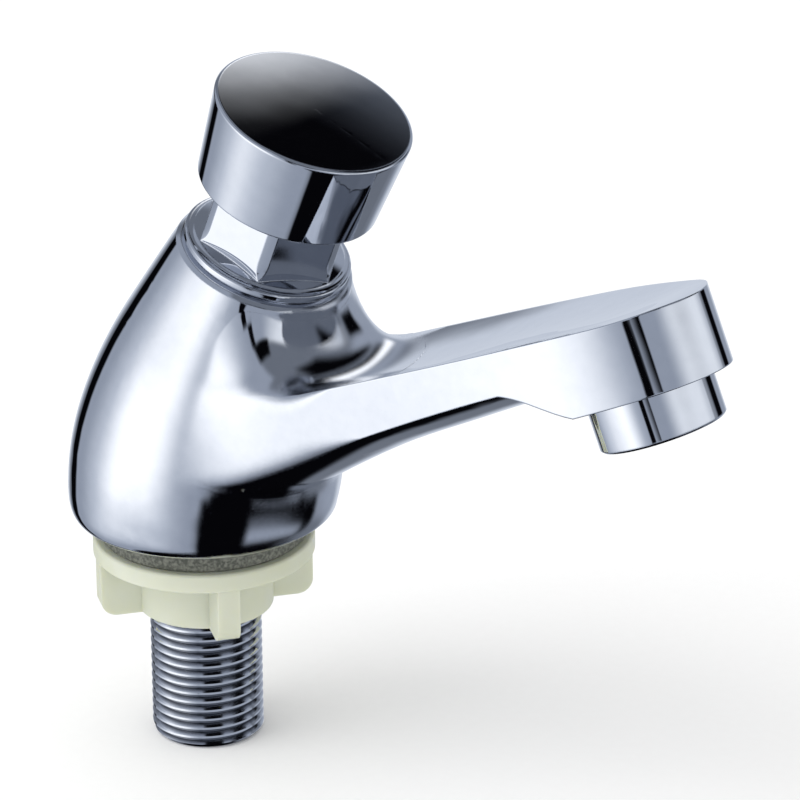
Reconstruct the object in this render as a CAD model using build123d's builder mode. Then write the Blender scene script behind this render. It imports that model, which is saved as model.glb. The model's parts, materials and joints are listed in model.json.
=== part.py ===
from build123d import *

import os
from math import atan2, cos, hypot, radians, sin, tan

os.makedirs("parts", exist_ok=True)

# All lengths are in millimetres. Z points up, X points along the spout,
# and the origin lies on the inlet shank's axis at the top of the deck.

# Clearances shared by the pieces
cut_over = 2.0  # how far a cut runs past the face it opens
slide_gap = 0.3  # round a moving piece that only passes by
running_gap = 0.05  # round a shaft or a seal that runs in a bore
seat_gap = 0.05  # round a piece that is dropped into a pocket
thread_gap = 0.15  # between a plain drum and the bore it stands for a thread in
nut_bore_gap = 0.1  # round the shank inside the backnut

# Inlet shank, with a half inch pipe thread
shank_radius = 10.4775
shank_bottom = -40.5
shank_top = 9.6
shank_bore_radius = 7.0
shank_chamfer = 1.0
thread_pitch = 1.814
thread_depth = 1.05
thread_root = 0.4
thread_mouth = 1.8
thread_mouth_over = 0.4  # how far outside the crests the groove has its full mouth
thread_top = -0.6
strainer_seat_radius = 8.2
strainer_seat_depth = 1.8

# Base gasket
gasket_radius = 19.4
gasket_thick = 3.2
gasket_hole_radius = 11.2
gasket_edge = 0.4

# Backnut
nut_flange_radius = 20.75
nut_flange_thick = 3.7
nut_hub_radius = 12.8
nut_height = 14.6
nut_wing_count = 4
nut_wing_radius = 20.3
nut_wing_thick = 4.2
nut_wing_height = 10.7
nut_wing_angle = 51.0
nut_wing_corner = 3.0
nut_edge = 0.6

# Body, as rings from the base up: forward shift, height, radius
body_rings = (
    (0.0, 3.2, 19.8),
    (0.0, 4.4, 22.9),
    (0.0, 6.2, 24.7),
    (0.1, 9.0, 25.1),
    (0.7, 13.0, 25.3),
    (1.8, 18.0, 25.2),
    (3.3, 23.5, 24.7),
    (5.0, 29.0, 23.9),
    (6.8, 34.5, 22.8),
    (8.8, 40.0, 21.5),
    (10.8, 45.5, 20.0),
    (12.8, 51.0, 18.5),
    (14.5, 55.5, 17.3),
)
# Lean of each ring in degrees
body_lean_angles = (0.0, 0.0, 1.0, 5.3, 10.5, 14.2, 16.5, 17.9, 18.9, 19.7, 20.3, 20.8, 21.1)
rim_radius = 16.4
rim_edge = 0.5
ring_starts = (60, 180, 300)  # each ring is drawn as three arcs, clear of the spout's middle
ring_sweep = 120
base_wall = 3.5
base_hollow_rings = 7  # how many rings, from the lowest, the hollow base follows
boss_radius = 14.0
boss_top = 20.0
column_radius = 15.5

# Spout, measured from the middle of its round tip on the top face
spout_rise = 23.0  # degrees
tip_forward = 93.5
arm_root_height = 27.0  # where the line of the top face comes back to the shank's axis
tip_nose = 16.6
arm_half_width = 18.0
arm_outline = (
    (14.9, 5.6),
    (11.2, 9.6),
    (6.0, 12.4),
    (0.0, 14.3),
    (-8.0, 15.95),
    (-20.0, 17.3),
    (-30.0, 17.82),
    (-40.0, arm_half_width),
)
arm_stock_over = 6.0  # how much wider the bar is drawn than the arm, to each side
# Along the spout, half width at the edges, dip of the top, depth at the edges, depth in the middle
arm_stations = (
    (-102.0, 18.0, 3.6, 15.5, 27.0),
    (-90.0, 18.0, 3.6, 13.9, 23.6),
    (-80.0, 18.0, 3.6, 12.9, 20.6),
    (-66.0, 18.0, 3.5, 11.3, 17.6),
    (-52.0, 18.0, 3.3, 9.8, 15.3),
    (-38.0, 18.0, 3.0, 8.5, 14.0),
    (-24.0, 17.7, 2.2, 7.5, 12.8),
    (-10.0, 16.4, 1.5, 7.2, 12.0),
    (5.0, 15.0, 0.9, 7.2, 10.6),
    (20.0, 15.0, 0.8, 7.2, 9.6),
)
block_depth = 14.1
block_heel = (-5.6, 14.6)
block_slope = ((-10.5, 11.9), (-15.5, 9.0), (-20.0, 7.4), (-26.0, 6.4))
block_core_depth = 3.5
block_front = 25.0
plan_end = 64.0
plan_over = 7.0  # how far the outline's cutter starts above the top face
spout_reach = 130.0

# Root of the arm, where its sides widen into the flanks of the body
root_start = 36.0
root_end = 50.0
root_back = 5.0
root_floor = 7.0
root_top = 62.0
root_flank_share = 0.4
root_skipped_rings = 2  # how many of the lowest rings the root's outline leaves out
root_inset = 0.15

# Neck, the hollow curve from the arm's top up the front of the body.
# Offset from the middle, reach up the body, lead of the curve's corner, reach out along the arm
neck_slices = (
    (21.0, 2.0, 0.5, 2.0),
    (19.8, 5.0, 1.5, 9.0),
    (19.0, 7.0, 3.0, 14.0),
    (18.0, 12.5, 4.0, 17.0),
    (17.0, 16.5, 4.5, 17.0),
    (15.0, 18.5, 4.5, 18.0),
    (11.0, 16.8, 3.8, 18.5),
    (6.0, 15.5, 3.2, 18.0),
)
neck_middle = (0.0, 15.0, 3.0, 17.5)
neck_root = 3.0  # how deep the curve's stock is let into the body and the arm

# Waterways
inlet_way_top = 16.0
duct_radius = 5.0
duct_height = 32.0
duct_start = 5.5
duct_end = 38.0
# Along the spout, depth of the middle, height of the way
arm_way_start = (-66.0, 10.0, 6.0)
arm_way_end = (2.0, 5.7, 4.2)
arm_way_width = 18.0
arm_way_corner = 1.9
spot_face_radius = 12.7
outlet_bore_radius = 10.6
outlet_well_radius = 9.0
outlet_well_height = 4.9

# Valve axis, which leans towards the spout and meets deck level behind the shank
valve_lean = 21.3  # degrees
valve_back = 7.1
inlet_chamber_radius = 8.2
inlet_chamber_floor = 13.8
inlet_chamber_height = 14.2
seat_thick = 3.0
seat_pocket_radius = 9.5
seat_bore_radius = 4.8
seat_ring_gap = 0.1
seat_groove_radius = 8.1
seat_groove_height = 1.5
seat_seal_wire = 0.68
main_chamber_radius = 11.5
cap_thread_length = 13.0
cap_thread_radius = 13.5
rim_level = 63.2

# Bonnet that closes the valve
bonnet_tube_length = 23.2  # below the rim
bonnet_tube_bore_radius = 9.5
bonnet_flange_radius = 15.6
bonnet_flange_thick = 1.7
bonnet_flange_groove = 0.9
bonnet_flange_edge = 0.5
bonnet_head_radius = 13.3
bonnet_head_height = 17.1  # above the flange
bonnet_shoulder_rise = 4.6  # from the flange to the foot of the round head
bonnet_flats_width = 24.0
bonnet_flats_rise = 1.6  # from the flange to the foot of the flats
bonnet_flats_fall = 1.5  # how far the ledge below the flats slopes down, out to past the flange
bonnet_partition_drop = 3.2  # below the rim
bonnet_partition_thick = 8.0
bonnet_recess_radius = 8.6
bonnet_groove_radius = 11.7
bonnet_groove_drop = 3.8  # below the rim
bonnet_groove_height = 2.0
bonnet_ring_wire = 0.85

# Guide bush, spindle seal and gland washer inside the bonnet
bush_radius = 5.2
bush_height = 3.0
gland_pocket_radius = 5.5
gland_pocket_depth = 4.0
gland_washer_thick = 1.3
spindle_seal_wire = 1.2

# Spindle and the pieces it carries
spindle_radius = 3.0
spindle_reach = 2.1  # above the locknut, in the button
spindle_edge = 0.4
spindle_tail_radius = 2.0
spindle_tail_proud = 0.5  # below the valve's nut
collar_radius = 3.9
collar_thick = 2.0
backing_washer_radius = 7.0
backing_washer_thick = 1.0
cup_seal_height = 3.0
cup_seal_lip = 1.1
cup_seal_dish = 1.7
piston_height = 4.0
piston_edge = 0.5
circlip_radius = 4.1
circlip_thick = 0.8
circlip_mouth = 2.4
metering_pin_radius = 0.6
metering_pin_offset = 5.6
metering_pin_gap = 0.05
metering_pin_proud = 0.6
metering_pin_head_radius = 1.1
valve_washer_radius = 7.0
valve_washer_thick = 2.5
valve_disc_radius = 7.4
valve_disc_thick = 2.0
valve_disc_lip = 0.9
valve_nut_width = 7.0
valve_nut_height = 2.2

# Return spring, its cap and the locknut above it
spring_wire_radius = 0.6
spring_radius = 7.0
spring_turns = 6
spring_length = 17.6
spring_cap_thick = 0.8
spring_cap_radius = 8.2
locknut_width = 10.0
locknut_height = 2.5

# Push button
button_overlap = 4.1  # how far the skirt hides the bonnet at rest
button_boss_height = 3.3
button_foot_radius = 16.75
button_head_radius = 18.4
button_wall = 1.6
button_roof = 3.0
button_boss_radius = 6.0
button_crown = 0.4  # how far the middle of the top stands above its rim
button_edge = 0.6
button_foot_edge = 0.4

# Aerator
aerator_radius = 11.5
aerator_drop = 8.95
aerator_thread_length = 4.5
aerator_bore_radius = 9.4
aerator_lip_radius = 8.6
aerator_lip_thick = 1.05
aerator_edge = 0.4
aerator_gasket_bore_radius = 7.8
aerator_gasket_thick = 1.3
insert_height = 9.5
insert_hole_radius = 0.95
insert_hole_spacing = 2.5
insert_field_radius = 8.3
screen_thick = 0.5
screen_hole_radius = 0.45
screen_hole_spacing = 1.5
screen_rim_height = 1.2
screen_rim_wall = 0.6

# Inlet strainer and flow regulator
strainer_flange_thick = 1.2
strainer_cup_radius = 6.6
strainer_cup_height = 6.0
strainer_wall = 0.8
strainer_hole_radius = 0.6
strainer_hole_spacing = 1.9
strainer_field_radius = 5.0
regulator_level = -30.0
regulator_height = 4.0
regulator_bore_radius = 5.0
regulator_core_radius = 1.6
regulator_spoke_count = 3
regulator_spoke_width = 1.2

# Stock of the arm, and levels of the outlet below its top face
arm_stock_half = arm_half_width + arm_stock_over
outlet_bore_roof = block_depth - aerator_thread_length - aerator_gasket_thick
outlet_well_roof = outlet_bore_roof - outlet_well_height

# Levels along the valve axis
seat_level = inlet_chamber_floor + inlet_chamber_height
washer_bottom = seat_level - valve_washer_thick
disc_bottom = washer_bottom - valve_disc_thick
valve_nut_bottom = disc_bottom - valve_nut_height
spindle_tail_bottom = valve_nut_bottom - spindle_tail_proud
cap_thread_floor = rim_level - cap_thread_length
bonnet_tube_bottom = rim_level - bonnet_tube_length
bonnet_groove_low = rim_level - bonnet_groove_drop
bonnet_groove_high = bonnet_groove_low + bonnet_groove_height
bonnet_partition_floor = rim_level - bonnet_partition_drop
bonnet_partition_top = bonnet_partition_floor + bonnet_partition_thick
gland_pocket_floor = bonnet_partition_top - gland_pocket_depth
bonnet_flange_top = rim_level + bonnet_flange_thick
bonnet_flats_foot = bonnet_flange_top + bonnet_flats_rise
bonnet_head_foot = bonnet_flange_top + bonnet_shoulder_rise
bonnet_top = bonnet_flange_top + bonnet_head_height
spring_cap_level = bonnet_partition_top + spring_length
cap_top = spring_cap_level + spring_cap_thick
locknut_top = cap_top + locknut_height
spindle_top = locknut_top + spindle_reach
button_bottom = bonnet_top - button_overlap
button_roof_level = locknut_top + button_boss_height
button_top = button_roof_level + button_roof

# Frames
lean = radians(valve_lean)
rise = radians(spout_rise)
tip_height = arm_root_height + tip_forward * tan(rise)
deck = Plane.XY
valve = Plane(
    origin=(-valve_back, 0, 0),
    x_dir=(cos(lean), 0, -sin(lean)),
    z_dir=(sin(lean), 0, cos(lean)),
)
valve_cut = Plane(origin=valve.origin, x_dir=valve.x_dir, z_dir=(0, -1, 0))
valve_axis = Axis(valve.origin, valve.z_dir)
spout = Plane(
    origin=(tip_forward, 0, tip_height),
    x_dir=(cos(rise), 0, sin(rise)),
    z_dir=(-sin(rise), 0, cos(rise)),
)
spout_cut = Plane(origin=spout.origin, x_dir=spout.x_dir, z_dir=(0, -1, 0))
spout_axis = Axis(spout.origin, spout.z_dir)
duct = Plane(origin=(0, 0, duct_height), x_dir=(0, 1, 0), z_dir=(1, 0, 0))
at_foot = (Align.CENTER, Align.CENTER, Align.MIN)

# The rim closes the row of body rings, square to the valve axis
rim_middle = valve.offset(rim_level).origin
body_levels = [
    (forward, height, ring_lean, radius)
    for (forward, height, radius), ring_lean in zip(body_rings, body_lean_angles)
]
body_levels.append((rim_middle.X, rim_middle.Z, valve_lean, rim_radius))


def drum(frame, radius, low, high, mode=Mode.ADD):
    """Add or cut a round drum between two levels of a frame."""
    with Locations(frame.offset(low)):
        Cylinder(radius, high - low, align=at_foot, mode=mode)


def bore(frame, radius, low, high):
    """Cut a round hole between two levels of a frame."""
    drum(frame, radius, low, high, Mode.SUBTRACT)


def hexagon_drum(frame, width, low, high):
    """Add a six-sided drum of a width across its flats."""
    with BuildSketch(frame.offset(low)) as outline:
        RegularPolygon(width / 2, 6, major_radius=False)
    extrude(outline.sketch, amount=high - low)


def ring_seal(frame, radius, wire, level):
    """Add a round sealing ring at a level of a frame."""
    with Locations(frame.offset(level)):
        Torus(radius, wire)


def hole_field(frame, hole_radius, spacing, field_radius, low, high):
    """Cut a round field of small holes in staggered rows."""
    row_step = spacing * sin(radians(60))
    rows = int(field_radius / row_step)
    spots = []
    for row in range(-rows, rows + 1):
        shift = spacing / 2 * (row % 2)
        for column in range(-rows - 1, rows + 2):
            across = column * spacing + shift
            if hypot(across, row * row_step) + hole_radius <= field_radius:
                spots.append((across, row * row_step))
    with BuildSketch(frame.offset(low)) as field:
        with Locations(spots):
            Circle(hole_radius)
    extrude(field.sketch, amount=high - low, mode=Mode.SUBTRACT)


def ring_face(forward, height, ring_lean, radius):
    """Draw one ring of the body on its leaning level."""
    tilt = radians(ring_lean)
    level = Plane(
        origin=(forward, 0, height),
        x_dir=(cos(tilt), 0, -sin(tilt)),
        z_dir=(sin(tilt), 0, cos(tilt)),
    )
    with BuildSketch(level) as ring:
        with BuildLine():
            for start in ring_starts:
                CenterArc((0, 0), radius, start, ring_sweep)
        make_face()
    return ring.sketch


def across_arm(along):
    """The plane square across the arm at a distance along the spout."""
    middle = spout.from_local_coords(Vector(along, 0, 0))
    return Plane(origin=middle, x_dir=(0, -1, 0), z_dir=-spout.x_dir)


def body_front(offset):
    """The body's front outline at an offset from the middle, from the lowest ring up."""
    line = []
    for forward, height, ring_lean, radius in body_levels[root_skipped_rings:]:
        if radius > abs(offset):
            reach = (radius**2 - offset**2) ** 0.5
            tilt = radians(ring_lean)
            line.append(Vector(forward + reach * cos(tilt), 0, height - reach * sin(tilt)))
    return line


def arm_top(forward, offset):
    """The height of the arm's dished top."""
    along = (forward - tip_forward) / cos(rise)
    for near, far in zip(arm_stations, arm_stations[1:]):
        if near[0] <= along <= far[0]:
            share = (along - near[0]) / (far[0] - near[0])
            dip = near[2] + share * (far[2] - near[2])
    sag = dip * (1 - (offset / arm_half_width) ** 2)
    return tip_height + along * sin(rise) - sag / cos(rise)


def neck_corner(offset):
    """Where the body's front outline passes through the arm's top."""
    line = body_front(offset)
    for low, high in zip(line, line[1:]):
        low_over = low.Z - arm_top(low.X, offset)
        high_over = high.Z - arm_top(high.X, offset)
        if low_over <= 0 < high_over:
            return low + (high - low) * (low_over / (low_over - high_over))


def neck_start(offset, corner, reach_up):
    """The point a distance up the body's front outline from the corner."""
    start = corner
    left_over = reach_up
    for point in body_front(offset):
        if point.Z > start.Z and left_over > 0:
            step = min(left_over, (point - start).length)
            start = start + (point - start).normalized() * step
            left_over -= step
    return start


def save(piece, name):
    """Name a piece and write it."""
    piece.label = name
    export_step(piece, f"parts/{name}.step")


# Outer form of the body, ring by ring
with BuildPart() as pear:
    loft(sections=[ring_face(*level) for level in body_levels])

# Arm, first as a broad bar that has the dished top and the rounded underside
with BuildPart() as arm_bar:
    for along, half, dip, edge_depth, middle_depth in arm_stations:
        spread = (arm_stock_half / half) ** 2
        top_edge = dip * (spread - 1)
        low_edge = (middle_depth - edge_depth) * spread - middle_depth
        with BuildSketch(across_arm(along)):
            with BuildLine():
                dish = ThreePointArc((-arm_stock_half, top_edge), (0, -dip), (arm_stock_half, top_edge))
                belly = ThreePointArc(
                    (-arm_stock_half, low_edge), (0, -middle_depth), (arm_stock_half, low_edge)
                )
                Line(dish @ 0, belly @ 0)
                Line(dish @ 1, belly @ 1)
            make_face()
    loft()
    # Deeper block at the tip, with a sloping heel
    with BuildSketch(spout_cut):
        with BuildLine():
            heel = [(along, -depth) for along, depth in block_slope]
            sweep_up = Spline((block_heel[0], -block_heel[1]), *heel)
            Polyline(
                sweep_up @ 1,
                (block_slope[-1][0], -block_core_depth),
                (block_front, -block_core_depth),
                (block_front, -block_depth),
                sweep_up @ 0,
            )
        make_face()
    extrude(amount=arm_stock_half, both=True)

# Outline of the spout from above
with BuildPart() as plan:
    with BuildSketch(spout.offset(plan_over)):
        with BuildLine():
            near_side = [(along, -half) for along, half in reversed(arm_outline)]
            round_tip = Spline(*near_side, (tip_nose, 0), *arm_outline)
            Polyline(
                round_tip @ 1,
                (-plan_end, arm_half_width),
                (-plan_end, -arm_half_width),
                round_tip @ 0,
            )
        make_face()
    extrude(amount=-4 * block_depth)

# Neck, slice by slice from the near side to the far side
with BuildPart() as neck:
    near_slices = [(-offset, up, lead, out) for offset, up, lead, out in neck_slices]
    for offset, reach_up, lead, reach_out in (*near_slices, neck_middle, *reversed(neck_slices)):
        corner = neck_corner(offset)
        start = neck_start(offset, corner, reach_up)
        corner_forward = corner.X + lead
        end_forward = corner.X + reach_out * cos(rise)
        start_point = (start.X, start.Z)
        corner_point = (corner_forward, arm_top(corner_forward, offset))
        end_point = (end_forward, arm_top(end_forward, offset))
        with BuildSketch(Plane(origin=(0, offset, 0), x_dir=(1, 0, 0), z_dir=(0, -1, 0))):
            with BuildLine():
                Bezier(start_point, corner_point, end_point)
                Polyline(
                    end_point,
                    (end_point[0], end_point[1] - neck_root),
                    (corner.X - neck_root, corner.Z - neck_root),
                    (start_point[0] - neck_root, start_point[1]),
                    start_point,
                )
            make_face()
    loft()

# Root of the arm, whose sides run tangent into the flanks of the body
with BuildPart() as root:
    root_levels = [
        (forward, height - root_flank_share * radius * sin(radians(ring_lean)), radius)
        for forward, height, ring_lean, radius in body_levels[root_skipped_rings:]
    ]
    root_levels.append((root_levels[-1][0], root_top, root_levels[-1][2]))
    for forward, height, radius in root_levels:
        flank = radius - root_inset
        run = root_start - forward
        flare = (run**2 + arm_half_width**2 - flank**2) / (2 * (flank - arm_half_width))
        share = flank / (flank + flare)
        touch = (forward + run * share, (arm_half_width + flare) * share)
        centre = (root_start, arm_half_width + flare)
        sides = [atan2(y - centre[1], x - centre[0]) for x, y in (touch, (root_start, arm_half_width))]
        middle = sum(sides) / 2
        with BuildSketch(deck.offset(height)):
            with BuildLine():
                ThreePointArc(
                    (root_start, arm_half_width),
                    (centre[0] + abs(flare) * cos(middle), centre[1] + abs(flare) * sin(middle)),
                    touch,
                )
                Line((root_end, arm_half_width), (root_start, arm_half_width))
                Line(touch, (root_back, 0))
                mirror(about=Plane.XZ)
                Line((root_end, arm_half_width), (root_end, -arm_half_width))
            make_face()
    loft()

with BuildPart() as bar_and_neck:
    add(arm_bar.part)
    add(neck.part)

with BuildPart() as arm:
    add(plan.part)
    add(root.part)
    add(bar_and_neck.part, mode=Mode.INTERSECT)
    with Locations((root_back, 0, root_floor)):
        Box(
            spout_reach,
            2 * arm_stock_half,
            spout_reach,
            align=(Align.MIN, Align.CENTER, Align.MIN),
            mode=Mode.INTERSECT,
        )

# Hollow of the base, which leaves the inlet boss, the valve column and the duct's wall
with BuildPart() as hollow:
    inner_levels = [
        (forward, height, ring_lean, radius - base_wall)
        for forward, height, ring_lean, radius in body_levels[:base_hollow_rings]
    ]
    inner_levels.insert(0, (0, gasket_thick - cut_over, 0, body_rings[0][-1] - base_wall))
    loft(sections=[ring_face(*level) for level in inner_levels])
    bore(deck, boss_radius, 0, boss_top)
    bore(valve, column_radius, 0, rim_level)

# Way out of the valve, along the arm and into the well above the aerator
with BuildPart() as outlet_way:
    for along, depth, way_height in (arm_way_start, arm_way_end):
        with BuildSketch(across_arm(along)):
            with Locations((0, -depth)):
                RectangleRounded(arm_way_width, way_height, arm_way_corner)
    loft()
    drum(duct, duct_radius, duct_start, duct_end)
    drum(spout, spot_face_radius, -block_depth - cut_over, -block_depth)
    drum(spout, outlet_bore_radius, -block_depth - cut_over, -outlet_bore_roof)
    drum(spout, outlet_well_radius, -outlet_bore_roof - cut_over, -outlet_well_roof)

# Casting: body and arm in one, with the waterways bored through
with BuildPart() as body_casting:
    add(pear.part)
    add(arm.part)
    add(hollow.part, mode=Mode.SUBTRACT)
    # Inlet: the shank's socket and the way up to the valve
    bore(deck, shank_radius, gasket_thick - cut_over, shank_top)
    bore(deck, shank_bore_radius, gasket_thick, inlet_way_top)
    # Valve bores, from the lower chamber up to the rim
    bore(valve, inlet_chamber_radius, inlet_chamber_floor, seat_level + cut_over)
    bore(valve, seat_pocket_radius, seat_level, seat_level + seat_thick + cut_over)
    bore(valve, main_chamber_radius, seat_level + seat_thick, rim_level)
    bore(valve, cap_thread_radius, cap_thread_floor, rim_level + cut_over)
    # Broken edge of the rim
    with BuildSketch(valve_cut) as rim_bevel:
        with BuildLine():
            Polyline(
                (rim_radius - rim_edge, rim_level),
                (rim_radius - rim_edge, rim_level + cut_over),
                (rim_radius + cut_over, rim_level + cut_over),
                (rim_radius + cut_over, rim_level - rim_edge - cut_over),
                (rim_radius - rim_edge, rim_level),
            )
        make_face()
    revolve(rim_bevel.sketch, axis=valve_axis, mode=Mode.SUBTRACT)
    add(outlet_way.part, mode=Mode.SUBTRACT)
save(body_casting.part, "body_casting")

# Inlet shank: a threaded tube with a seat for the strainer
with BuildPart() as inlet_shank:
    drum(deck, shank_radius, shank_bottom, shank_top)
    lower_rim = inlet_shank.edges().filter_by(GeomType.CIRCLE).sort_by(Axis.Z)[0]
    chamfer(lower_rim, shank_chamfer)
    bore(deck, shank_bore_radius, shank_bottom, shank_top)
    bore(deck, strainer_seat_radius, shank_bottom, shank_bottom + strainer_seat_depth)
    with BuildLine():
        turn_line = Helix(
            thread_pitch,
            thread_top - shank_bottom + 2 * thread_pitch,
            shank_radius,
            center=(0, 0, shank_bottom - thread_pitch),
        )
    with BuildSketch(Plane(origin=turn_line @ 0, x_dir=(1, 0, 0), z_dir=(0, -1, 0))):
        with BuildLine():
            Polyline(
                (thread_mouth_over, thread_mouth / 2),
                (-thread_depth, thread_root / 2),
                (-thread_depth, -thread_root / 2),
                (thread_mouth_over, -thread_mouth / 2),
                (thread_mouth_over, thread_mouth / 2),
            )
        make_face()
    sweep(path=turn_line.edge(), is_frenet=True, mode=Mode.SUBTRACT)
save(inlet_shank.part, "inlet_shank")

# Base gasket between the casting and the deck
with BuildPart() as base_gasket:
    drum(deck, gasket_radius, 0, gasket_thick)
    chamfer(base_gasket.edges().filter_by(GeomType.CIRCLE), gasket_edge)
    bore(deck, gasket_hole_radius, 0, gasket_thick)
save(base_gasket.part, "base_gasket")

# Backnut: flange, hub and finger wings
with BuildPart() as backnut:
    drum(deck, nut_hub_radius, -nut_height, 0)
    fillet(backnut.edges().filter_by(GeomType.CIRCLE).sort_by(Axis.Z)[0], nut_edge)
    drum(deck, nut_flange_radius, -nut_flange_thick, 0)
    fillet(backnut.edges().filter_by(GeomType.CIRCLE).sort_by(SortBy.RADIUS)[-2:], nut_edge)
    wing_low = -nut_flange_thick - nut_wing_height
    for wing in range(nut_wing_count):
        turn = radians(nut_wing_angle + wing * 360 / nut_wing_count)
        upright = Plane(origin=(0, 0, 0), x_dir=(cos(turn), sin(turn), 0), z_dir=(sin(turn), -cos(turn), 0))
        with BuildSketch(upright) as wing_side:
            with BuildLine():
                corner_arc = CenterArc(
                    (nut_wing_radius - nut_wing_corner, wing_low + nut_wing_corner), nut_wing_corner, 270, 90
                )
                Polyline(
                    corner_arc @ 1,
                    (nut_wing_radius, -nut_flange_thick / 2),
                    (nut_hub_radius / 2, -nut_flange_thick / 2),
                    (nut_hub_radius / 2, wing_low),
                    corner_arc @ 0,
                )
            make_face()
        extrude(wing_side.sketch, amount=nut_wing_thick / 2, both=True)
    bore(deck, shank_radius + nut_bore_gap, -nut_height, 0)
save(backnut.part, "backnut")

# Waste cut away beside the bonnet's flats, on a ledge that slopes down to the flange's edge
with BuildPart() as flats_stock:
    stock_radius = bonnet_flange_radius + cut_over
    with BuildSketch(valve_cut) as ledge:
        with BuildLine():
            Polyline(
                (0, bonnet_flats_foot),
                (bonnet_flats_width / 2, bonnet_flats_foot),
                (stock_radius, bonnet_flats_foot - bonnet_flats_fall),
                (stock_radius, bonnet_top),
                (0, bonnet_top),
                (0, bonnet_flats_foot),
            )
        make_face()
    revolve(ledge.sketch, axis=valve_axis)
    with BuildSketch(valve.offset(bonnet_flats_foot - bonnet_flats_fall)) as hexagon:
        RegularPolygon(bonnet_flats_width / 2, 6, major_radius=False)
    extrude(hexagon.sketch, amount=bonnet_top, mode=Mode.SUBTRACT)

# Bonnet: a tube that goes into the casting, a flange on its rim and a six-sided head
with BuildPart() as bonnet:
    tube_radius = main_chamber_radius - thread_gap
    plug_radius = cap_thread_radius - thread_gap
    with BuildSketch(valve_cut) as half:
        with BuildLine():
            Polyline(
                (0, bonnet_tube_bottom),
                (tube_radius, bonnet_tube_bottom),
                (tube_radius, cap_thread_floor + thread_gap),
                (plug_radius, cap_thread_floor + thread_gap),
                (plug_radius, bonnet_groove_low),
                (bonnet_groove_radius, bonnet_groove_low),
                (bonnet_groove_radius, bonnet_groove_high),
                (plug_radius, bonnet_groove_high),
                (plug_radius, rim_level),
                (bonnet_flange_radius - bonnet_flange_groove, rim_level),
                (bonnet_flange_radius, rim_level + bonnet_flange_groove),
                (bonnet_flange_radius, bonnet_flange_top),
            )
            shoulder = CenterArc(
                (bonnet_flange_radius - bonnet_flange_edge, bonnet_flange_top), bonnet_flange_edge, 0, 90
            )
            Bezier(
                shoulder @ 1,
                (bonnet_head_radius, bonnet_flange_top + bonnet_flange_edge),
                (bonnet_head_radius, bonnet_head_foot),
            )
            Polyline(
                (bonnet_head_radius, bonnet_head_foot),
                (bonnet_head_radius, bonnet_top),
                (0, bonnet_top),
                (0, bonnet_tube_bottom),
            )
        make_face()
    revolve(half.sketch, axis=valve_axis)
    # Six flats for the spanner, two of them in line with the spout
    add(flats_stock.part, mode=Mode.SUBTRACT)
    bore(valve, bonnet_tube_bore_radius, bonnet_tube_bottom, bonnet_partition_floor)
    bore(valve, spindle_radius + running_gap, bonnet_tube_bottom, bonnet_top)
    bore(valve, bush_radius, bonnet_partition_floor, bonnet_partition_floor + bush_height)
    bore(valve, gland_pocket_radius, gland_pocket_floor, bonnet_partition_top)
    bore(valve, bonnet_recess_radius, bonnet_partition_top, bonnet_top)
save(bonnet.part, "bonnet")

# Bonnet sealing ring in its groove
with BuildPart() as bonnet_o_ring:
    groove_level = (bonnet_groove_low + bonnet_groove_high) / 2
    ring_seal(valve, (bonnet_groove_radius + cap_thread_radius) / 2, bonnet_ring_wire, groove_level)
save(bonnet_o_ring.part, "bonnet_o_ring")

# Guide bush under the partition
bush_top = bonnet_partition_floor + bush_height
with BuildPart() as guide_bush:
    drum(valve, bush_radius - seat_gap, bonnet_partition_floor, bush_top)
    bore(valve, spindle_radius + running_gap, bonnet_partition_floor, bush_top)
save(guide_bush.part, "guide_bush")

# Spindle seal and the washer that keeps it down
with BuildPart() as spindle_seal:
    pocket_middle = (spindle_radius + gland_pocket_radius) / 2
    ring_seal(valve, pocket_middle, spindle_seal_wire, gland_pocket_floor + spindle_seal_wire)
save(spindle_seal.part, "spindle_seal")

gland_washer_bottom = bonnet_partition_top - gland_washer_thick
with BuildPart() as gland_washer:
    drum(valve, gland_pocket_radius - seat_gap, gland_washer_bottom, bonnet_partition_top)
    bore(valve, spindle_radius + running_gap, gland_washer_bottom, bonnet_partition_top)
save(gland_washer.part, "gland_washer")

# Seat ring with its sealing ring
seat_top = seat_level + seat_thick
seat_middle = (seat_level + seat_top) / 2
with BuildPart() as valve_seat:
    drum(valve, seat_pocket_radius - seat_ring_gap, seat_level, seat_top)
    with Locations(valve.offset(seat_middle)):
        Cylinder(seat_pocket_radius, seat_groove_height, mode=Mode.SUBTRACT)
        Cylinder(seat_groove_radius, seat_groove_height)
    bore(valve, seat_bore_radius, seat_level, seat_top)
save(valve_seat.part, "valve_seat")

with BuildPart() as seat_o_ring:
    ring_seal(valve, (seat_groove_radius + seat_pocket_radius) / 2, seat_seal_wire, seat_middle)
save(seat_o_ring.part, "seat_o_ring")

# Spindle: tail below the seat, collar under the guide bush, top in the button
collar_bottom = bonnet_partition_floor - collar_thick
with BuildPart() as spindle:
    drum(valve, spindle_tail_radius, spindle_tail_bottom, seat_level)
    drum(valve, spindle_radius, seat_level, spindle_top)
    chamfer(spindle.edges().filter_by(GeomType.CIRCLE).sort_by(valve_axis)[-1], spindle_edge)
    drum(valve, collar_radius, collar_bottom, bonnet_partition_floor)
save(spindle.part, "spindle")

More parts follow.
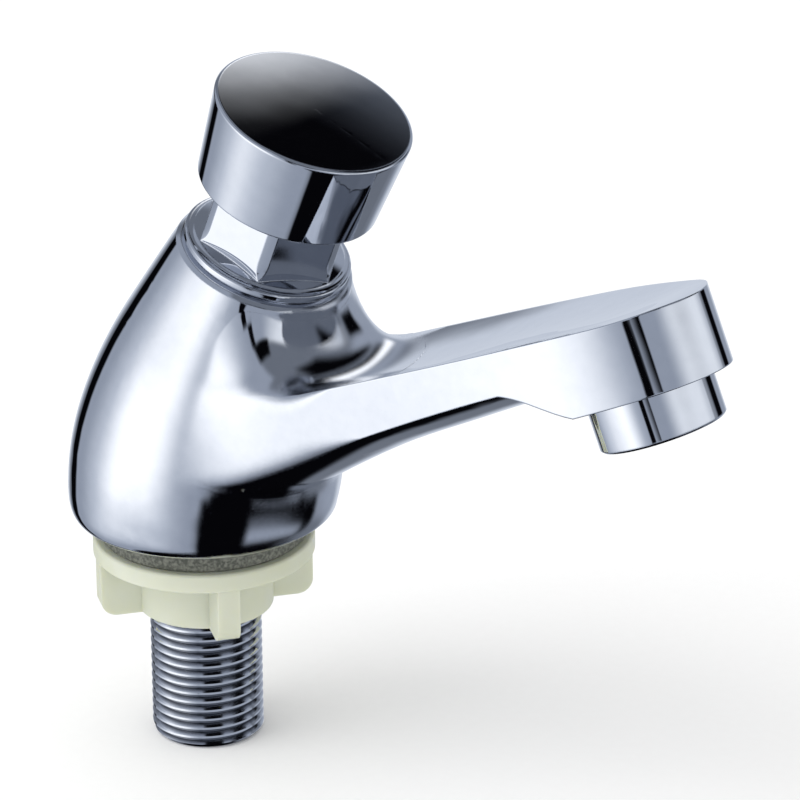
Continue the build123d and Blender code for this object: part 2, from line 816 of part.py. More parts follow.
# Pieces under the collar, from the top: backing washer, cup seal, piston, circlip
backing_bottom = collar_bottom - backing_washer_thick
seal_bottom = backing_bottom - cup_seal_height
piston_bottom = seal_bottom - piston_height
circlip_bottom = piston_bottom - circlip_thick
pin_hole_radius = metering_pin_radius + metering_pin_gap
pin_line = Plane(
    origin=valve.from_local_coords(Vector(metering_pin_offset, 0, 0)),
    x_dir=valve.x_dir,
    z_dir=valve.z_dir,
)
with BuildPart() as backing_washer:
    drum(valve, backing_washer_radius, backing_bottom, collar_bottom)
    bore(valve, spindle_radius + running_gap, backing_bottom, collar_bottom)
    bore(pin_line, pin_hole_radius, backing_bottom, collar_bottom)
save(backing_washer.part, "backing_washer")

with BuildPart() as cup_seal:
    seal_radius = bonnet_tube_bore_radius - running_gap
    drum(valve, seal_radius, seal_bottom, backing_bottom)
    bore(valve, seal_radius - cup_seal_lip, backing_bottom - cup_seal_dish, backing_bottom)
    drum(valve, backing_washer_radius, backing_bottom - cup_seal_dish, backing_bottom)
    bore(valve, spindle_radius + running_gap, seal_bottom, backing_bottom)
    bore(pin_line, pin_hole_radius, seal_bottom, backing_bottom)
save(cup_seal.part, "cup_seal")

with BuildPart() as timing_piston:
    drum(valve, bonnet_tube_bore_radius - slide_gap, piston_bottom, seal_bottom)
    chamfer(timing_piston.edges().filter_by(GeomType.CIRCLE).sort_by(valve_axis)[0], piston_edge)
    bore(valve, spindle_radius + running_gap, piston_bottom, seal_bottom)
    bore(pin_line, pin_hole_radius, piston_bottom, seal_bottom)
save(timing_piston.part, "timing_piston")

with BuildPart() as piston_circlip:
    drum(valve, circlip_radius, circlip_bottom, piston_bottom)
    bore(valve, spindle_radius + running_gap, circlip_bottom, piston_bottom)
    with BuildSketch(valve.offset(circlip_bottom)) as mouth:
        with Locations((-circlip_radius, 0)):
            Rectangle(2 * circlip_radius, circlip_mouth)
    extrude(mouth.sketch, amount=circlip_thick, mode=Mode.SUBTRACT)
save(piston_circlip.part, "piston_circlip")

# Metering pin, which leaves the timed leak past the piston
with BuildPart() as metering_pin:
    drum(pin_line, metering_pin_radius, piston_bottom, collar_bottom + metering_pin_proud)
    drum(pin_line, metering_pin_head_radius, piston_bottom - metering_pin_proud, piston_bottom)
save(metering_pin.part, "metering_pin")

# Valve below the seat: washer, disc and nut on the spindle's tail
with BuildPart() as valve_washer:
    drum(valve, valve_washer_radius, washer_bottom, seat_level)
    bore(valve, spindle_tail_radius + running_gap, washer_bottom, seat_level)
save(valve_washer.part, "valve_washer")

with BuildPart() as valve_disc:
    drum(valve, valve_disc_radius, disc_bottom, washer_bottom + valve_disc_lip)
    bore(valve, valve_washer_radius + running_gap, washer_bottom, washer_bottom + valve_disc_lip)
    bore(valve, spindle_tail_radius + running_gap, disc_bottom, washer_bottom)
save(valve_disc.part, "valve_disc")

with BuildPart() as valve_nut:
    hexagon_drum(valve, valve_nut_width, valve_nut_bottom, disc_bottom)
    bore(valve, spindle_tail_radius + running_gap, valve_nut_bottom, disc_bottom)
save(valve_nut.part, "valve_nut")

# Return spring between the partition and the cap under the button
with BuildPart() as return_spring:
    spring_low = bonnet_partition_top + spring_wire_radius
    spring_run = spring_cap_level - spring_wire_radius - spring_low
    with BuildLine():
        coil = Helix(spring_run / spring_turns, spring_run, spring_radius, center=(0, 0, spring_low))
    with BuildSketch(Plane(origin=coil @ 0, z_dir=coil % 0)):
        Circle(spring_wire_radius)
    sweep(path=coil.edge(), is_frenet=True)
save(return_spring.part.moved(valve.location), "return_spring")

# Spring cap, locknut and push button on the spindle's top
with BuildPart() as spring_cap:
    drum(valve, spring_cap_radius, spring_cap_level, cap_top)
    bore(valve, spindle_radius + running_gap, spring_cap_level, cap_top)
save(spring_cap.part, "spring_cap")

with BuildPart() as spindle_locknut:
    hexagon_drum(valve, locknut_width, cap_top, locknut_top)
    bore(valve, spindle_radius + running_gap, cap_top, locknut_top)
save(spindle_locknut.part, "spindle_locknut")

with BuildPart() as push_button:
    with BuildSketch(valve_cut) as half_button:
        with BuildLine():
            crown = Bezier(
                (button_head_radius, button_top),
                (button_head_radius / 2, button_top + button_crown),
                (0, button_top + button_crown),
            )
            Polyline(
                crown @ 1,
                (0, button_bottom),
                (button_foot_radius, button_bottom),
                crown @ 0,
            )
        make_face()
    revolve(half_button.sketch, axis=valve_axis)
    round_rims = push_button.edges().filter_by(GeomType.CIRCLE).sort_by(valve_axis)
    fillet(round_rims[-1], button_edge)
    fillet(push_button.edges().filter_by(GeomType.CIRCLE).sort_by(valve_axis)[0], button_foot_edge)
    bore(valve, button_foot_radius - button_wall, button_bottom, button_roof_level)
    drum(valve, button_boss_radius, locknut_top, button_roof_level)
    bore(valve, spindle_radius + running_gap, locknut_top, spindle_top + seat_gap)
save(push_button.part, "push_button")

# Aerator: chromed housing with a plastic insert, a screen and a gasket
housing_bottom = -block_depth - aerator_drop
housing_top = -block_depth + aerator_thread_length
with BuildPart() as aerator_housing:
    drum(spout, aerator_radius, housing_bottom, -block_depth)
    chamfer(aerator_housing.edges().filter_by(GeomType.CIRCLE).sort_by(spout_axis)[0], aerator_edge)
    drum(spout, outlet_bore_radius - thread_gap, -block_depth, housing_top)
    bore(spout, aerator_bore_radius, housing_bottom + aerator_lip_thick, housing_top)
    bore(spout, aerator_lip_radius, housing_bottom, housing_top)
save(aerator_housing.part, "aerator_housing")

insert_bottom = housing_bottom + aerator_lip_thick
insert_top = insert_bottom + insert_height
insert_radius = aerator_bore_radius - seat_gap
with BuildPart() as aerator_insert:
    drum(spout, insert_radius, insert_bottom, insert_top)
    hole_field(spout, insert_hole_radius, insert_hole_spacing, insert_field_radius, insert_bottom, insert_top)
save(aerator_insert.part, "aerator_insert")

screen_top = insert_top + screen_thick
rim_top = insert_top + screen_rim_height
with BuildPart() as aerator_screen:
    drum(spout, insert_radius, insert_top, rim_top)
    bore(spout, insert_radius - screen_rim_wall, screen_top, rim_top)
    hole_field(spout, screen_hole_radius, screen_hole_spacing, insert_field_radius, insert_top, screen_top)
save(aerator_screen.part, "aerator_screen")

with BuildPart() as aerator_gasket:
    drum(spout, outlet_bore_radius - seat_gap, housing_top, -outlet_bore_roof)
    bore(spout, aerator_gasket_bore_radius, housing_top, -outlet_bore_roof)
save(aerator_gasket.part, "aerator_gasket")

# Inlet strainer, a perforated cup whose flange sits in the end of the shank
flange_top = shank_bottom + strainer_seat_depth
flange_bottom = flange_top - strainer_flange_thick
cup_top = flange_bottom + strainer_cup_height
with BuildPart() as inlet_strainer:
    drum(deck, strainer_seat_radius - seat_gap, flange_bottom, flange_top)
    drum(deck, strainer_cup_radius, flange_bottom, cup_top)
    bore(deck, strainer_cup_radius - strainer_wall, flange_bottom, cup_top - strainer_wall)
    hole_field(
        deck,
        strainer_hole_radius,
        strainer_hole_spacing,
        strainer_field_radius,
        cup_top - strainer_wall,
        cup_top,
    )
save(inlet_strainer.part, "inlet_strainer")

# Flow regulator, a ring with a spoked middle
regulator_top = regulator_level + regulator_height
with BuildPart() as flow_regulator:
    drum(deck, shank_bore_radius - seat_gap, regulator_level, regulator_top)
    bore(deck, regulator_bore_radius, regulator_level, regulator_top)
    with BuildSketch(deck.offset(regulator_level)) as spokes:
        Circle(regulator_core_radius)
        for spoke in range(regulator_spoke_count):
            Rectangle(
                regulator_bore_radius + shank_bore_radius,
                regulator_spoke_width,
                rotation=spoke * 180 / regulator_spoke_count,
            )
    extrude(spokes.sketch, amount=regulator_height)
save(flow_regulator.part, "flow_regulator")
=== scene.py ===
# %% [markdown]
# # A push timed basin tap
#
# The real object is a self-closing pillar tap. A chrome plated brass body stands on the basin, a
# slim spout reaches forward, a push button on top leans forward over it, and a threaded shank with
# an ivory nylon backnut clamps the tap from below. The solids already hold every piece at its true
# size and place, so this lesson is about finish: what each surface is made of, how it was worked,
# and what that gives the eye. Chrome has no colour of its own, so half of the lesson is the studio
# that it mirrors.

# %% Load the solids and keep their box
import json
import bpy
from math import cos, pi, radians, sin
from mathutils import Matrix, Vector


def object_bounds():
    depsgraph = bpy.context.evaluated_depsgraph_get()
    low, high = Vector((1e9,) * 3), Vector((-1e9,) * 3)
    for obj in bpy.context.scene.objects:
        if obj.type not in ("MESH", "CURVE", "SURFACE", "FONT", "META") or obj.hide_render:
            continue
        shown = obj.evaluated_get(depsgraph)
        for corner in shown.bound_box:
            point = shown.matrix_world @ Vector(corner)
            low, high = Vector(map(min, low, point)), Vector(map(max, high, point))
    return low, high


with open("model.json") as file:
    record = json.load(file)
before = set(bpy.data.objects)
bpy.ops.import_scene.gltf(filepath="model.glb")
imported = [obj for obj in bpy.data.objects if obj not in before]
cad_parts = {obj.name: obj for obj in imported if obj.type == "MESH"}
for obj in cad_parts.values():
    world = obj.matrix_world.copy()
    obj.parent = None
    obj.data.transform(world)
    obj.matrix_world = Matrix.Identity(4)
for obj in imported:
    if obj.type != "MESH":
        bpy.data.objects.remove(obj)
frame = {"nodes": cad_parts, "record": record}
cad_low, cad_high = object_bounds()
MM = 0.001
print("CAD box in mm:", [round(v / MM, 1) for v in (*cad_low, *cad_high)])

# %% [markdown]
# ## Small helpers
#
# Colours are written as a painter reads them, in sRGB hex, and one function turns them into the
# linear light that the shader counts in. Patterns are written as real sizes in millimetres, so
# `grain` works out the scale of the noise, which counts per metre here. `put` adds one node, types
# in its settings and links its inputs. With these, each material below is only a few lines.


# %% Helpers for nodes, colours and sizes
def put(tree, kind, inputs=None, **settings):
    """Add one node. An input that is another node's socket is linked, and any other is typed in."""
    node = tree.nodes.new("ShaderNode" + kind)
    for name, value in settings.items():
        setattr(node, name, value)
    for name, value in (inputs or {}).items():
        if isinstance(value, bpy.types.NodeSocket):
            tree.links.new(value, node.inputs[name])
        else:
            node.inputs[name].default_value = value
    return node


def paint(code):
    """The linear colour of an sRGB hex code."""
    shares = [int(code[i : i + 2], 16) / 255 for i in (1, 3, 5)]
    return [s / 12.92 if s <= 0.04045 else ((s + 0.055) / 1.055) ** 2.4 for s in shares] + [1.0]


def grain(tree, where, size_mm, layers):
    """A noise whose pattern is so many millimetres across, with finer layers over it."""
    inputs = {"Vector": where, "Scale": 1 / (size_mm * MM), "Detail": layers}
    return put(tree, "TexNoise", inputs).outputs["Fac"]


def spread(tree, value, low, high, start=0.0, end=1.0):
    """A number that goes from low to high while the value goes from start to end."""
    limits = {"Value": value, "From Min": start, "From Max": end, "To Min": low, "To Max": high}
    return put(tree, "MapRange", limits).outputs["Result"]


def blend(tree, share, first, second):
    """The first colour where the share is nothing, and the second where it is one."""
    return put(tree, "MixRGB", {"Fac": share, "Color1": first, "Color2": second}).outputs["Color"]


def finish(name):
    """A new material that is still empty: the material, its tree, and the object's own coordinates."""
    material = bpy.data.materials.new(name)
    material.use_nodes = True
    tree = material.node_tree
    tree.nodes.clear()
    return material, tree, put(tree, "TexCoord").outputs["Object"]


def surface(tree, colour, roughness, relief, depth_mm, under=None, **more):
    """Close a material: its colour, its roughness, and a relief so many millimetres deep.

    The relief lies on the plain surface, or on the one that `under` gives.
    """
    bump = put(tree, "Bump", {"Height": relief, "Distance": depth_mm * MM})
    if under:
        tree.links.new(under, bump.inputs["Normal"])
    inputs = {"Base Color": colour, "Roughness": roughness, "Normal": bump.outputs["Normal"]}
    inputs.update({name.replace("_", " "): value for name, value in more.items()})
    shader = put(tree, "BsdfPrincipled", inputs)
    put(tree, "OutputMaterial", {"Surface": shader.outputs["BSDF"]})


# %% [markdown]
# ## The camera first
#
# The photograph was taken from the side and a little above, with a long lens. The lens matters:
# from a metre away the near and the far rim of the button keep almost the same size. The three
# axes of the camera are worked out from its two angles and a slight roll.

# %% Camera
AROUND, ABOVE, ROLL = radians(53.5), radians(23.0), radians(-0.5)
DISTANCE = 1.0
ASIDE, UP = -36.6 * MM, -24.2 * MM
SENSOR_WIDTH = 36.0
FOCAL_IN_PICTURE_WIDTHS = 5358 / 800
NEAREST, FARTHEST = 0.05, 20.0

toward = Vector((cos(ABOVE) * cos(AROUND), -cos(ABOVE) * sin(AROUND), sin(ABOVE)))
level = Vector((sin(AROUND), cos(AROUND), 0))
upright = toward.cross(level)
across = cos(ROLL) * level + sin(ROLL) * upright
over = -sin(ROLL) * level + cos(ROLL) * upright
lens = bpy.data.cameras.new("camera")
lens.sensor_width = SENSOR_WIDTH
lens.lens = SENSOR_WIDTH * FOCAL_IN_PICTURE_WIDTHS
lens.clip_start, lens.clip_end = NEAREST, FARTHEST
camera = bpy.data.objects.new("camera", lens)
bpy.context.scene.collection.objects.link(camera)
place = DISTANCE * toward - ASIDE * across - UP * over
camera.matrix_world = Matrix.Translation(place) @ Matrix((across, over, toward)).transposed().to_4x4()
bpy.context.scene.camera = camera
print("camera at", [round(v, 3) for v in place], "lens", round(lens.lens), "mm")

# %% [markdown]
# ## Chrome plate
#
# The body, button, bonnet and aerator housing are brass, ground, buffed and then plated with nickel
# and a skin of chromium. The skin is a mirror with a cool grey tone. What keeps it from looking
# like a computer mirror is the buffing: the wheel leaves the surface wavy by a few hundredths of
# a millimetre over about a centimetre, and a haze so fine that only the roughness tells of it.
# The wheel also takes the sharpness off every edge, and where the arm grows out of the body it runs
# one face into the other, as no edge of a solid does. So the material is a metal with a low
# roughness that drifts, a very shallow bump, and normals that are rounded a little everywhere and
# more round the arm's root.

# %% Chrome material
CHROME_LIGHT, CHROME_GREY = "#E6E8ED", "#DADDE3"
BUFFING_WAVE_MM, BUFFING_HAZE_MM, BUFFING_DEPTH_MM = 11.0, 2.5, 0.02
EDGE_ROUNDING_MM, ROOT_ROUNDING_MM = 0.4, 5.0
ROOT_MIDDLE_MM, ROOT_NEAR_MM, ROOT_FAR_MM = (26.0, 0.0, 22.0), 24.0, 34.0
ROUNDING_RAYS = 8
CHROME_SHARP, CHROME_HAZY = 0.01, 0.035  # roughness
HAZE_LOW, HAZE_HIGH = 0.3, 0.8  # the part of the noise that counts

chrome, tree, where = finish("chrome_plated_brass_buffed")
away = put(tree, "VectorMath", {0: where, 1: [v * MM for v in ROOT_MIDDLE_MM]}, operation="DISTANCE")
fade = [v * MM for v in (ROOT_ROUNDING_MM, EDGE_ROUNDING_MM, ROOT_NEAR_MM, ROOT_FAR_MM)]
rounding = spread(tree, away.outputs["Value"], *fade)
rounded = put(tree, "Bevel", {"Radius": rounding}, samples=ROUNDING_RAYS).outputs["Normal"]
haze = grain(tree, where, BUFFING_HAZE_MM, layers=5)
wave = grain(tree, where, BUFFING_WAVE_MM, layers=1)
tone = blend(tree, haze, paint(CHROME_LIGHT), paint(CHROME_GREY))
gloss = spread(tree, haze, CHROME_SHARP, CHROME_HAZY, HAZE_LOW, HAZE_HIGH)
surface(tree, tone, gloss, wave, BUFFING_DEPTH_MM, rounded, Metallic=1.0)
print("chrome waves every", BUFFING_WAVE_MM, "mm")

# %% [markdown]
# ## Chrome on the thread
#
# The shank is the same plated brass, but its half inch pipe thread was cut, not buffed, so the
# flanks stay a little dull. The roots are painted darker as painted shade, and the crests paler as
# a painted highlight. The distance from the shank's axis, which is the Z axis here, tells a crest
# from a root, so it drives both this painted light and the roughness.

# %% Threaded chrome material
THREAD_ROOT_MM, THREAD_CREST_MM = 9.45, 10.35
# Painted light: a dark grey for painted shade in the roots, and a near white for a painted highlight on
# the crests.
ROOT_PAINTED_SHADE, CREST_PAINTED_HIGHLIGHT = "#7C7F86", "#F2F3F6"
ROOT_ROUGHNESS, CREST_ROUGHNESS = 0.16, 0.05
CUTTER_MARK_MM, CUTTER_DEPTH_MM = 0.45, 0.008

threaded_chrome, tree, where = finish("chrome_plated_brass_threaded")
parts = put(tree, "SeparateXYZ", {"Vector": where})
flat = put(tree, "CombineXYZ", {"X": parts.outputs["X"], "Y": parts.outputs["Y"]})
radius = put(tree, "VectorMath", {0: flat.outputs["Vector"]}, operation="LENGTH")
crest = spread(tree, radius.outputs["Value"], 0.0, 1.0, THREAD_ROOT_MM * MM, THREAD_CREST_MM * MM)
# The tone from root to crest is painted shade blending into a painted highlight.
tone = blend(tree, crest, paint(ROOT_PAINTED_SHADE), paint(CREST_PAINTED_HIGHLIGHT))
gloss = spread(tree, crest, ROOT_ROUGHNESS, CREST_ROUGHNESS)
marks = grain(tree, where, CUTTER_MARK_MM, layers=3)
surface(tree, tone, gloss, marks, CUTTER_DEPTH_MM, Metallic=1.0)
print("thread tone from radius", THREAD_ROOT_MM, "to", THREAD_CREST_MM, "mm")

# %% [markdown]
# ## Ivory nylon
#
# The backnut is moulded in unfilled nylon, which is a warm ivory with a slight green cast and lets
# a little light in. The mould was spark eroded, so the skin is satin, with a fine even grain, and
# thicker places look a touch yellower. Light that enters and leaves again a millimetre away
# softens the edges of the wings.

# %% Nylon material
NYLON_PALE, NYLON_DEEP = "#DFE2D6", "#CBCFB3"
NYLON_FLOW_MM, SPARK_GRAIN_MM, SPARK_DEPTH_MM = 14.0, 0.35, 0.008
GLOW_DEPTH_MM, GLOW_SHARE = 2.0, 0.4
GLOW_BY_COLOUR = (1.0, 0.9, 0.5)  # red light travels farthest
NYLON_SMOOTH, NYLON_ROUGH = 0.36, 0.5
NYLON_IOR = 1.53

nylon, tree, where = finish("ivory_nylon_moulded")
flow = grain(tree, where, NYLON_FLOW_MM, layers=3)
tone = blend(tree, flow, paint(NYLON_PALE), paint(NYLON_DEEP))
sparks = grain(tree, where, SPARK_GRAIN_MM, layers=2)
surface(
    tree,
    tone,
    spread(tree, sparks, NYLON_SMOOTH, NYLON_ROUGH),
    sparks,
    SPARK_DEPTH_MM,
    IOR=NYLON_IOR,
    Subsurface_Weight=GLOW_SHARE,
    Subsurface_Radius=GLOW_BY_COLOUR,
    Subsurface_Scale=GLOW_DEPTH_MM * MM,
)
print("nylon glows", GLOW_DEPTH_MM, "mm deep")

# %% [markdown]
# ## Rubber, grey and black
#
# The base gasket is cut from a grey sheet of rubber filled with ground chalk and rubber crumb, so
# its cut edge shows pale and dark specks about half a millimetre across. The sealing rings and
# the cup seal are black EPDM, moulded smooth, with a dry bloom of lighter grey. Both are the same
# recipe with other colours and specks, so one function makes them.


# %% Rubber materials
SPECK_DEPTH_MM = 0.03
SPECK_LOW, SPECK_HIGH = 0.38, 0.66  # the part of the noise that turns from dark to pale
RUBBER_IOR = 1.52


def rubber(name, pale, dark, speck_mm, roughness):
    """A filled rubber: a ground colour, specks of a size, and a skin that the specks roughen."""
    material, tree, where = finish(name)
    specks = grain(tree, where, speck_mm, layers=2)
    share = spread(tree, specks, 0.0, 1.0, SPECK_LOW, SPECK_HIGH)
    tone = blend(tree, share, paint(dark), paint(pale))
    surface(tree, tone, roughness, specks, SPECK_DEPTH_MM, IOR=RUBBER_IOR)
    return material


gasket_rubber = rubber("grey_filled_rubber_cut", "#83857A", "#54574E", speck_mm=0.6, roughness=0.55)
seal_rubber = rubber("black_epdm_rubber_moulded", "#2A2B2D", "#131416", speck_mm=1.2, roughness=0.5)
print("rubbers:", gasket_rubber.name, "and", seal_rubber.name)

# %% [markdown]
# ## Turned brass and drawn steel
#
# The valve's small parts are turned from brass bar, and the tool leaves a spiral so fine that it
# reads as rings round the part's own axis. That axis leans with the valve, so a Mapping node turns
# the pattern to it. The spindle, the pins and the spring are bright stainless bar and wire, and
# the strainer and screen are stamped from thin rolled sheet.

# %% Turned and rolled metals
VALVE_LEAN = radians(21.3)
VALVE_FOOT_MM = -7.1
LATHE_FEED_MM, LATHE_DEPTH_MM, ROLLED_GRAIN_MM = 0.3, 0.005, 0.6
WAVE_NODE_REPEATS = 20 / (2 * pi)  # the wave node's own count of bands in a length of one
TOOL_WANDER = 0.3
METAL_SMOOTH_SHARE, METAL_ROUGH_SHARE = 0.7, 1.3


def worked_metal(name, light, deep, roughness):
    """A machined metal: rings round the valve's axis from the tool, and a fine grain over them."""
    material, tree, where = finish(name)
    axis = {"Vector": where, "Location": (VALVE_FOOT_MM * MM, 0, 0), "Rotation": (0, VALVE_LEAN, 0)}
    turned = put(tree, "Mapping", axis, vector_type="TEXTURE").outputs["Vector"]
    scale = 1 / (LATHE_FEED_MM * MM * WAVE_NODE_REPEATS)
    tool = {"Vector": turned, "Scale": scale, "Distortion": TOOL_WANDER, "Detail": 1.0}
    rings = put(tree, "TexWave", tool, wave_type="RINGS", rings_direction="Z")
    rolled = grain(tree, turned, ROLLED_GRAIN_MM, layers=4)
    tone = blend(tree, rolled, paint(light), paint(deep))
    gloss = spread(tree, rolled, METAL_SMOOTH_SHARE * roughness, METAL_ROUGH_SHARE * roughness)
    surface(tree, tone, gloss, rings.outputs["Fac"], LATHE_DEPTH_MM, Metallic=1.0)
    return material


brass = worked_metal("turned_brass", "#D9B868", "#BF9A4C", roughness=0.24)
steel = worked_metal("bright_stainless_steel", "#CFD0D2", "#B9BBBE", roughness=0.2)
print("metals:", brass.name, "and", steel.name)

# %% [markdown]
# ## Moulded acetal
#
# The piston, the guide bush and the aerator's insert are white acetal, dense and slippery, with
# the faint mottle of a moulded part. The flow regulator is the same plastic in grey.

# %% Acetal materials
MOTTLE_MM, MOULD_GRAIN_MM, MOULD_DEPTH_MM = 4.0, 0.3, 0.003
MOULD_SMOOTH_SHARE, MOULD_ROUGH_SHARE = 0.8, 1.2
ACETAL_IOR = 1.48


def acetal(name, pale, deep, roughness):
    """A moulded engineering plastic with a soft mottle and a fine mould grain."""
    material, tree, where = finish(name)
    tone = blend(tree, grain(tree, where, MOTTLE_MM, layers=3), paint(pale), paint(deep))
    fine = grain(tree, where, MOULD_GRAIN_MM, layers=2)
    gloss = spread(tree, fine, MOULD_SMOOTH_SHARE * roughness, MOULD_ROUGH_SHARE * roughness)
    surface(tree, tone, gloss, fine, MOULD_DEPTH_MM, IOR=ACETAL_IOR)
    return material


white_acetal = acetal("white_acetal_moulded", "#EEEEEA", "#E2E2DC", roughness=0.38)
grey_acetal = acetal("grey_acetal_moulded", "#82868C", "#72767C", roughness=0.4)
print("plastics:", white_acetal.name, "and", grey_acetal.name)

# %% [markdown]
# ## Dress the solids
#
# Every solid came in with a plain stand-in material that is named after its slot in the record.
# The finish for each slot goes into the solid's own material slot, so shape and place stay as
# they are. The shank is the one exception: its slot is chrome, but its thread has its own finish.

# %% Give every node its finish
FINISHES = {
    "chromed_brass": chrome,
    "brass": brass,
    "stainless_steel": steel,
    "rubber": seal_rubber,
    "gasket_rubber": gasket_rubber,
    "ivory_nylon": nylon,
    "white_plastic": white_acetal,
    "grey_plastic": grey_acetal,
}
slot_of = {row["node"]: row["material_slot"] for row in frame["record"]["subparts"]}
for node, piece in frame["nodes"].items():
    piece.material_slots[0].material = FINISHES[slot_of[node]]
frame["nodes"]["inlet_shank"].material_slots[0].material = threaded_chrome
print("dressed", len(slot_of), "nodes in", len(FINISHES), "slots")

# %% [markdown]
# ## The floor
#
# The tap stands on the end of its shank on a round sheet of pale paper, which is wide enough to
# fill the picture and hangs down a little at its rim. Its back is see-through, so a view from
# below still shows the tap, and mirrors look past it into the studio, where dark and light panels
# take its place.

# %% Floor
SHEET_RADIUS, SHEET_RIM, SHEET_DROOP = 3.0, 0.4, 0.05
SHEET_CORNERS = 96
PAPER_LIGHT, PAPER_FIBRE = "#FFFFFF", "#FCFCFC"
FIBRE_MM = 2.0

paper, tree, where = finish("white_paper_sheet")
fibre = grain(tree, where, FIBRE_MM, layers=4)
tone = blend(tree, fibre, paint(PAPER_LIGHT), paint(PAPER_FIBRE))
sheet = put(tree, "BsdfDiffuse", {"Color": tone})
gone = put(tree, "BsdfTransparent")
side = put(tree, "NewGeometry")
both = put(tree, "MixShader", {0: side.outputs["Backfacing"], 1: sheet.outputs[0], 2: gone.outputs[0]})
put(tree, "OutputMaterial", {"Surface": both.outputs["Shader"]})

bpy.ops.object.select_all(action="DESELECT")
bpy.ops.mesh.primitive_circle_add(
    vertices=SHEET_CORNERS, radius=SHEET_RADIUS - SHEET_RIM, fill_type="NGON", location=(0, 0, cad_low.z)
)
floor = bpy.context.object
floor.name = "paper_sheet"
bpy.ops.object.mode_set(mode="EDIT")
bpy.ops.mesh.select_mode(type="EDGE")
bpy.ops.mesh.select_all(action="SELECT")
bpy.ops.mesh.region_to_loop()
bpy.ops.mesh.extrude_edges_move(TRANSFORM_OT_translate={"value": (0, 0, -SHEET_DROOP)})
wider = SHEET_RADIUS / (SHEET_RADIUS - SHEET_RIM)
bpy.ops.transform.resize(value=(wider, wider, 1), center_override=(0, 0, cad_low.z))
bpy.ops.object.mode_set(mode="OBJECT")
floor.data.materials.append(paper)
floor.visible_glossy = False
print("sheet of paper with", len(floor.data.polygons), "faces")

# %% [markdown]
# ## The studio that the chrome mirrors
#
# Everything that a mirror shows is somewhere else. The photograph tells where: the big white
# highlight on the body is one large softbox at the camera's left, the dark stripes are black flags
# between the lights, and the dark undersides look down on a black table. The world paints these
# panels by direction, for mirror rays only. The camera sees plain white, and everything else is
# lit by an even, plain light.
#
# A direction is given as degrees round from the camera, with the camera's right counted positive,
# and degrees above the horizon. The panels are painted in their order, like cut paper, and a wide
# soft edge makes a panel fade.

# %% World
world = bpy.data.worlds.new("studio")
bpy.context.scene.world = world
world.use_nodes = True
tree = world.node_tree
tree.nodes.clear()
parts = put(tree, "SeparateXYZ", {"Vector": put(tree, "TexCoord").outputs["Generated"]})
turn = put(tree, "Math", {0: parts.outputs["Y"], 1: parts.outputs["X"]}, operation="ARCTAN2")
height = put(tree, "Math", {0: parts.outputs["Z"]}, operation="ARCSINE")


def edge(value, outer, inner):
    """A soft step that is nothing past the outer angle and one past the inner angle, in degrees."""
    limits = {"Value": value, "From Min": radians(outer), "From Max": radians(inner)}
    return put(tree, "MapRange", limits, interpolation_type="SMOOTHSTEP").outputs["Result"]


def panel(under, middle, half_width, side_soft, low, high, end_soft, tone):
    """Paint one panel over what is there, by its middle, its half width and its lower and upper end."""
    away = put(tree, "Math", {0: turn.outputs[0], 1: radians(middle) - AROUND}, operation="SUBTRACT")
    wrapped = put(tree, "Math", {0: away.outputs[0], 1: pi, 2: -pi}, operation="WRAP")
    aside = put(tree, "Math", {0: wrapped.outputs[0]}, operation="ABSOLUTE")
    sides = edge(aside.outputs[0], half_width + side_soft, half_width - side_soft)
    foot = edge(height.outputs[0], low - end_soft, low + end_soft)
    head = edge(height.outputs[0], high + end_soft, high - end_soft)
    ends = put(tree, "Math", {0: foot, 1: head}, operation="MULTIPLY")
    mask = put(tree, "Math", {0: sides, 1: ends.outputs[0]}, operation="MULTIPLY")
    return blend(tree, mask.outputs[0], under, tone)


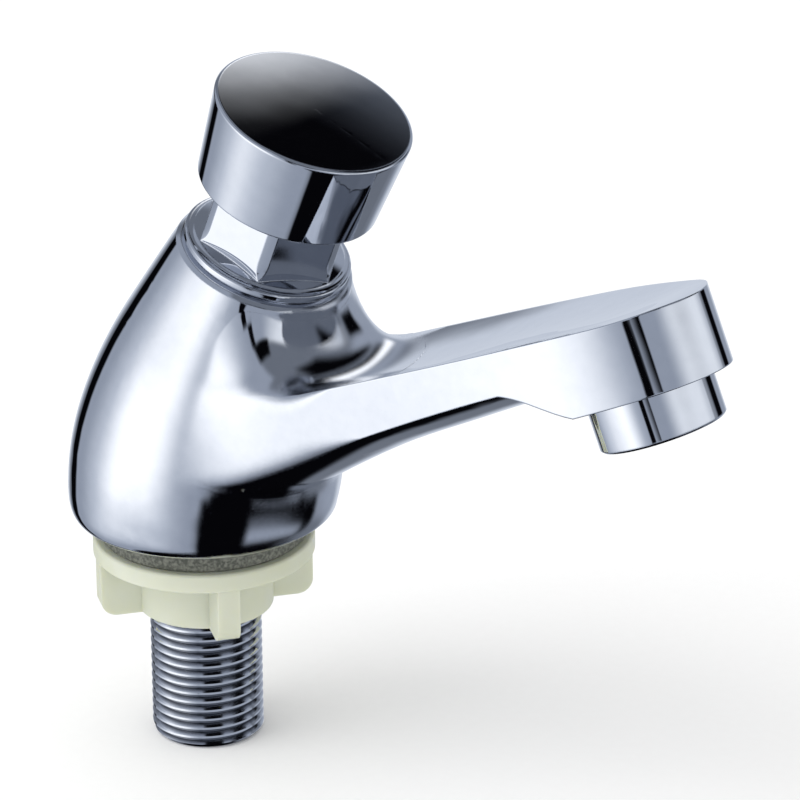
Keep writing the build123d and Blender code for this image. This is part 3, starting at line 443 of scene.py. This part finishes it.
WHITE = (1.4, 1.42, 1.45, 1)
BRIGHT = (0.9, 0.94, 1.0, 1)
PALE = (0.66, 0.71, 0.8, 1)
MIST = (0.34, 0.38, 0.46, 1)
STEEL = (0.17, 0.19, 0.23, 1)
BLACK = (0.002, 0.002, 0.003, 1)
PANELS = (
    # Middle, half width, soft sides, low, high, soft ends, tone
    (-78, 68, 5, -90, 62, 5, MIST),
    (0, 181, 1, -95, -61, 3, BLACK),
    (-72, 42, 16, -42, 12, 14, PALE),
    (-68, 26, 14, -26, 6, 12, WHITE),
    (45, 62, 2, -33, 14, 2, MIST),
    (64, 38, 16, -5, 17, 3, BRIGHT),
    (62, 38, 6, 16, 40, 4, STEEL),
    (152, 36, 6, -36, 33, 5, MIST),
    (178, 22, 8, -34, 14, 8, PALE),
    (180, 36, 3, -95, -51, 3, BLACK),
    (55, 62, 2, -95, -29, 2, BLACK),
    (72, 32, 3, -50, -41, 3, MIST),
    (6, 17, 2, 13, 29, 2, BLACK),
    (-17, 3.5, 1, -24, 1, 2, BLACK),
    (-9, 4.5, 1, 1, 14, 2, BLACK),
    (-144, 7, 2, -42, 6, 3, BLACK),
    (124, 9, 3, -14, 9, 4, BLACK),
    (112, 28, 3, 30, 56, 4, BLACK),
    (158, 10, 2, 35, 70, 6, BLACK),
    (168, 6, 5, 24, 41, 5, WHITE),
    (146, 5, 2, 36, 48, 4, STEEL),
)
view = STEEL
for numbers in PANELS:
    view = panel(view, *numbers)
print("studio panels:", len(PANELS))

# %% [markdown]
# ## Light for everything that isn't a mirror
#
# The nylon, the rubber and the paper need no studio, only an even light from all round with a
# slightly stronger one from the softbox's side, so that the wings have a light and a dark face.
# Three kinds of ray are told apart: a camera ray sees white, a mirror ray sees the panels, and
# any other ray sees the plain light.

# %% Plain light and key light
PLAIN_LIGHT = 0.9
KEY_SIZE, KEY_POWER, KEY_AWAY = 0.9, 6.0, 1.3
KEY_SIDE, KEY_ABOVE = radians(-70), radians(48)
KEY_AIM_MM = (30, 0, 20)

path = put(tree, "LightPath")
lit = blend(tree, path.outputs["Is Glossy Ray"], (PLAIN_LIGHT, PLAIN_LIGHT, PLAIN_LIGHT, 1), view)
seen = blend(tree, path.outputs["Is Camera Ray"], lit, (1, 1, 1, 1))
sky = put(tree, "Background", {"Color": seen, "Strength": 1.0})
put(tree, "OutputWorld", {"Surface": sky.outputs["Background"]})

softbox = bpy.data.lights.new("key_softbox", "AREA")
softbox.size = KEY_SIZE
softbox.energy = KEY_POWER
key_light = bpy.data.objects.new("key_softbox", softbox)
bpy.context.scene.collection.objects.link(key_light)
round_from_x = KEY_SIDE - AROUND
stand = Vector(
    (cos(round_from_x) * cos(KEY_ABOVE), sin(round_from_x) * cos(KEY_ABOVE), sin(KEY_ABOVE))
)
turned = stand.to_track_quat("Z", "Y").to_matrix().to_4x4()
key_light.matrix_world = Matrix.Translation(Vector(KEY_AIM_MM) * MM + KEY_AWAY * stand) @ turned
key_light.visible_glossy = False
print("key light", KEY_POWER, "W at", KEY_AWAY, "m")

# %% [markdown]
# ## The view
#
# The view transform is Standard, so a grey in the scene is that grey in the picture.

# %% View transform
bpy.context.scene.view_settings.view_transform = "Standard"
